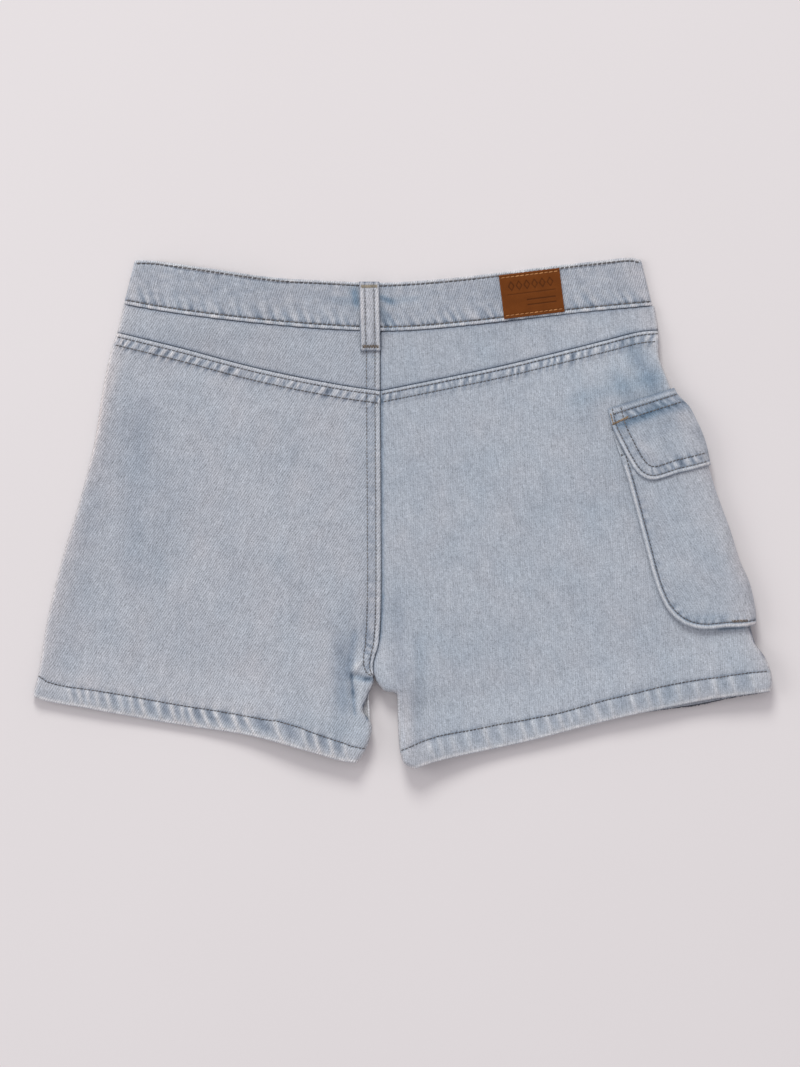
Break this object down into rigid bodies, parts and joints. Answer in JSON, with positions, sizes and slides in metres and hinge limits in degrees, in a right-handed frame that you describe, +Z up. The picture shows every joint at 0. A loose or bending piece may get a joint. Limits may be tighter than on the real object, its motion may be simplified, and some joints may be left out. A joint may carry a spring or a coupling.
{
  "type": "cargo skort",
  "caption": "Light denim skort laid flat face down: shorts with a wrap panel over the front, a shaped waistband and a flapped side pocket.",
  "frame": {"origin": "centre of the laid-out garment's footprint, on the surface it lies on", "axes": "+X to the pocket's side, the right of the picture; +Y towards the waistband; +Z up, out of the back of the garment, which is the side that shows"},
  "size_m": [0.4726, 0.3264, 0.0155],
  "materials": {
    "denim": "light-washed blue-grey cotton twill, matt",
    "patch_leather": "brown leather-like patch, low sheen",
    "button_metal": "worn antique metal"
  },
  "bodies": {
    "root": {"waistband": "denim", "belt_loop": "denim", "yoke_left": "denim", "yoke_right": "denim", "back_leg_left": "denim", "back_leg_right": "denim", "front_leg_left": "denim", "front_leg_right": "denim", "skirt_panel": "denim", "pocket": "denim", "pocket_gusset": "denim", "pocket_flap": "denim", "patch": "patch_leather", "button": "button_metal"}
  },
  "joints": []
}
